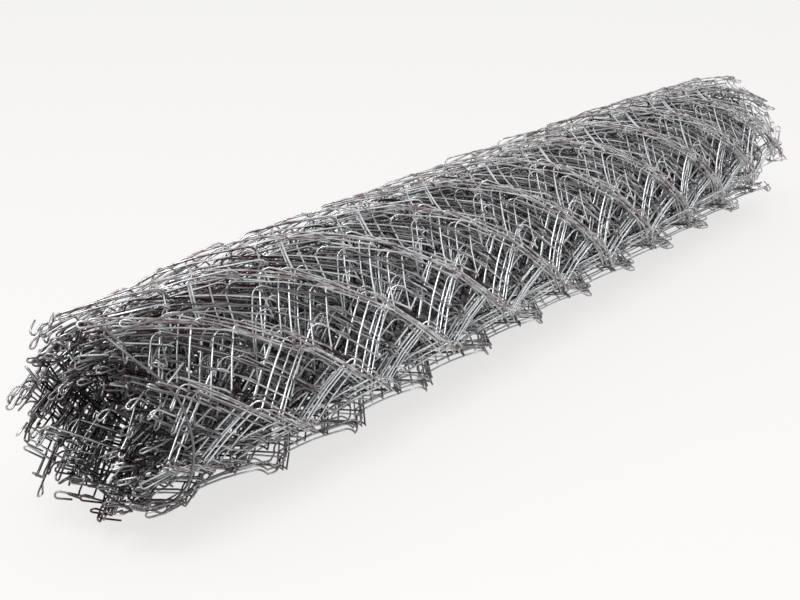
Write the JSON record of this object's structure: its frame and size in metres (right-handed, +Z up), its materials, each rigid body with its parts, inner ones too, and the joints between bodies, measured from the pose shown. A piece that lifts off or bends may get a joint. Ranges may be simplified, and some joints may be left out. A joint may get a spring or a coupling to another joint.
{
  "type": "chain link fence roll",
  "caption": "Rolled-up length of chain link fence fabric of bare steel wire, lying on its side and bound near one end with a tie wire.",
  "frame": {"origin": "on the floor under the middle of the roll", "axes": "X along the roll and its pickets, Z up, Y across the roll"},
  "size_m": [0.926, 0.1358, 0.139],
  "materials": {
    "fabric_wire": "bare drawn wire, dull grey with faint brown oxide at the bends",
    "tie_wire": "bare annealed wire, dull dark grey"
  },
  "bodies": {
    "root": {"picket_01": "fabric_wire", "picket_02": "fabric_wire", "picket_03": "fabric_wire", "picket_04": "fabric_wire", "picket_05": "fabric_wire", "picket_06": "fabric_wire", "picket_07": "fabric_wire", "picket_08": "fabric_wire", "picket_09": "fabric_wire", "picket_10": "fabric_wire", "picket_11": "fabric_wire", "picket_12": "fabric_wire", "picket_13": "fabric_wire", "picket_14": "fabric_wire", "picket_15": "fabric_wire", "picket_16": "fabric_wire", "picket_17": "fabric_wire", "picket_18": "fabric_wire", "picket_19": "fabric_wire", "picket_20": "fabric_wire", "picket_21": "fabric_wire", "picket_22": "fabric_wire", "picket_23": "fabric_wire", "picket_24": "fabric_wire", "picket_25": "fabric_wire", "picket_26": "fabric_wire", "picket_27": "fabric_wire", "picket_28": "fabric_wire", "picket_29": "fabric_wire", "picket_30": "fabric_wire", "picket_31": "fabric_wire", "picket_32": "fabric_wire", "picket_33": "fabric_wire", "picket_34": "fabric_wire", "picket_35": "fabric_wire", "picket_36": "fabric_wire", "picket_37": "fabric_wire", "tie_wire": "tie_wire"}
  },
  "joints": []
}
